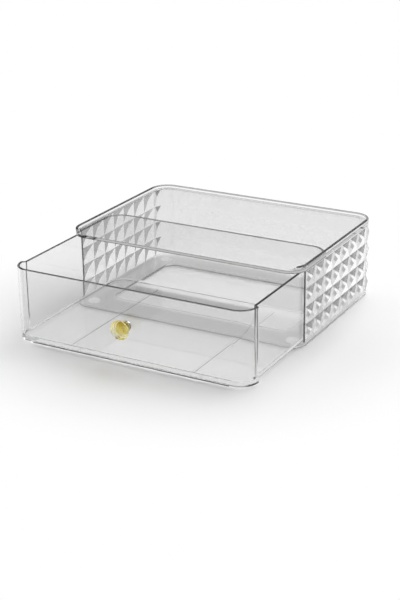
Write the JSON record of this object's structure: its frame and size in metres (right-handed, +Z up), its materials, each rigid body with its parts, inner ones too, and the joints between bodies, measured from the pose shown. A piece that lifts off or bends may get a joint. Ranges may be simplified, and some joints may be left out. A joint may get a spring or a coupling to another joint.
{
  "type": "stacking drawer organizer",
  "caption": "Clear stacking organizer: a box with diamond-studded walls and a lipped top, open at the front, holding one clear sliding drawer with a faceted yellow crystal knob.",
  "frame": {"origin": "on the surface that the feet stand on, under the middle of the whole object's box with the drawer drawn out as in the picture", "axes": "+Z up, +Y from the drawer's front to the housing's back, +X to the right of a person who faces the drawer"},
  "size_m": [0.252, 0.2896, 0.0817],
  "materials": {
    "clear_moulding": "clear injection-moulded plastic, polished, with a very slight grey tint",
    "clear_bumper": "clear soft bumper, glossy",
    "yellow_crystal": "transparent yellow, faceted and polished",
    "gilt_metal": "turned and polished",
    "zinc_steel": "zinc plated"
  },
  "bodies": {
    "housing": {"housing": "clear_moulding", "foot_front_left": "clear_bumper", "foot_front_right": "clear_bumper", "foot_back_left": "clear_bumper", "foot_back_right": "clear_bumper"},
    "drawer": {"drawer": "clear_moulding", "knob_crystal": "yellow_crystal", "knob_ferrule": "gilt_metal", "knob_screw": "zinc_steel", "screw_washer": "zinc_steel"}
  },
  "joints": [
    {"name": "drawer_slide", "type": "slide", "parent": "housing", "child": "drawer", "axis": [0, -1, 0], "range_m": [-0.094, 0.055]}
  ]
}
